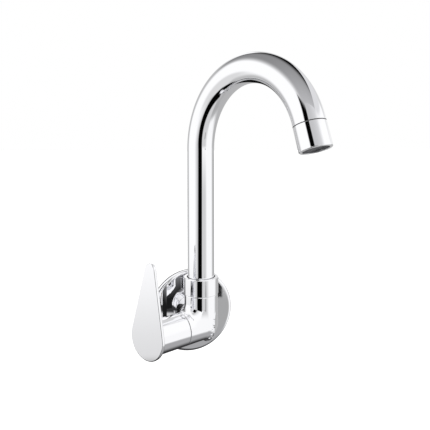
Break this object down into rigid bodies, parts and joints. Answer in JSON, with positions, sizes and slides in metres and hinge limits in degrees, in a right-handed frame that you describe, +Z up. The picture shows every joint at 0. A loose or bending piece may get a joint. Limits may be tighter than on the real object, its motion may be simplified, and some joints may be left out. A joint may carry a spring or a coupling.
{
  "type": "kitchen tap",
  "caption": "Wall-mounted kitchen tap with a swivel gooseneck spout, a round wall flange and a drop-shaped quarter-turn lever on the side.",
  "frame": {"origin": "centre of the wall face on the inlet axis", "axes": "+Y into the wall along the inlet, +X to the right of someone facing the tap, +Z up"},
  "size_m": [0.1152, 0.173, 0.2517],
  "materials": {
    "chrome": "mirror chrome plate",
    "brass": "bare turned brass",
    "steel": "plain stainless",
    "rubber": "matt black rubber",
    "white_plastic": "white low-friction plastic",
    "grey_plastic": "dark grey moulded plastic",
    "ceramic": "lapped white alumina ceramic"
  },
  "bodies": {
    "tap_body": {"elbow_body": "chrome", "inlet_shank": "brass", "inlet_strainer": "steel", "wall_flange": "chrome", "flange_gasket": "rubber", "spout_collar": "chrome", "headwork_bonnet": "brass", "bonnet_ring": "rubber", "seat_seal": "rubber", "fixed_disc": "ceramic"},
    "spout": {"spout_tube": "chrome", "spout_spigot": "brass", "spigot_ring_lower": "rubber", "spigot_ring_upper": "rubber", "spout_glide_washer": "white_plastic", "spout_thrust_washer": "white_plastic", "outlet_nipple": "brass", "nozzle_sleeve": "chrome", "aerator_washer": "rubber", "aerator_insert": "grey_plastic", "aerator_screen": "grey_plastic"},
    "lever": {"lever_handle": "chrome", "valve_spindle": "brass", "spindle_ring_inner": "rubber", "spindle_ring_outer": "rubber", "spindle_washer": "white_plastic", "spindle_circlip": "steel", "moving_disc": "ceramic", "lever_grub_screw": "steel", "screw_cap": "grey_plastic"}
  },
  "joints": [
    {"name": "spout_swivel", "type": "hinge", "parent": "tap_body", "child": "spout", "pos_m": [0, -0.0365, 0], "axis": [0, 0, 1], "range_deg": [-117.7, 72.3]},
    {"name": "lever_turn", "type": "hinge", "parent": "tap_body", "child": "lever", "pos_m": [0, -0.0365, 0], "axis": [0.9121, 0.4099, 0], "range_deg": [0, 90]}
  ]
}
